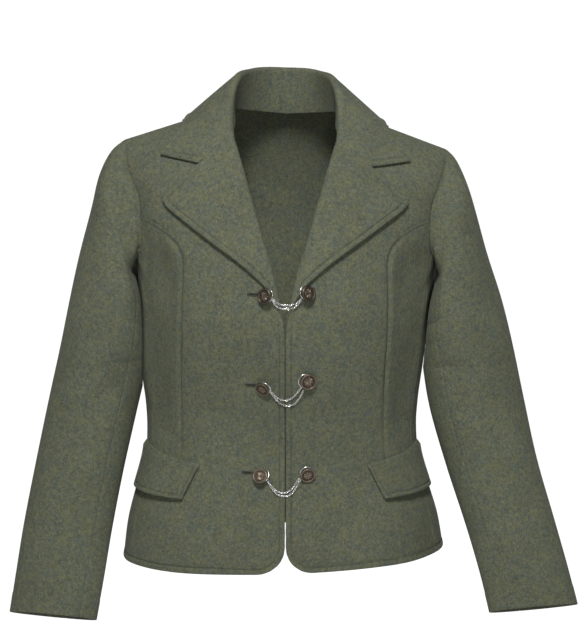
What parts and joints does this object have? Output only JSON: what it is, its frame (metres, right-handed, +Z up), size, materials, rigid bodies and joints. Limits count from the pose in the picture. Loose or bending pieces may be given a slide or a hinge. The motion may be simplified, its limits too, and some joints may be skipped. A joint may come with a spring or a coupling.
{
  "type": "tyrolean loden jacket",
  "caption": "Short fitted loden jacket with turned lapels, collar, princess seams, two-piece sleeves, pocket flaps and coin buttons joined by chains, in its worn hollow form.",
  "frame": {"origin": "between the wearer's shoulders, on the shoulder line level with the neck points, where the shoulders carry the jacket", "axes": "+Z up, the front faces -Y, +X towards the wearer's left"},
  "size_m": [0.7314, 0.2874, 0.7118],
  "materials": {
    "loden": "matte milled wool, mottled green and grey",
    "antique_metal": "antiqued silver coin button",
    "silver_metal": "silver chain"
  },
  "bodies": {
    "root": {"front_right": "loden", "side_front_right": "loden", "back_right": "loden", "top_sleeve_right": "loden", "under_sleeve_right": "loden", "lapel_right": "loden", "pocket_flap_right": "loden", "front_left": "loden", "side_front_left": "loden", "back_left": "loden", "top_sleeve_left": "loden", "under_sleeve_left": "loden", "lapel_left": "loden", "pocket_flap_left": "loden", "collar": "loden", "button_right_upper": "antique_metal", "button_left_upper": "antique_metal", "chain_upper_inner": "silver_metal", "chain_upper_outer": "silver_metal", "button_right_middle": "antique_metal", "button_left_middle": "antique_metal", "chain_middle_inner": "silver_metal", "chain_middle_outer": "silver_metal", "button_right_lower": "antique_metal", "button_left_lower": "antique_metal", "chain_lower_inner": "silver_metal", "chain_lower_outer": "silver_metal"}
  },
  "joints": []
}
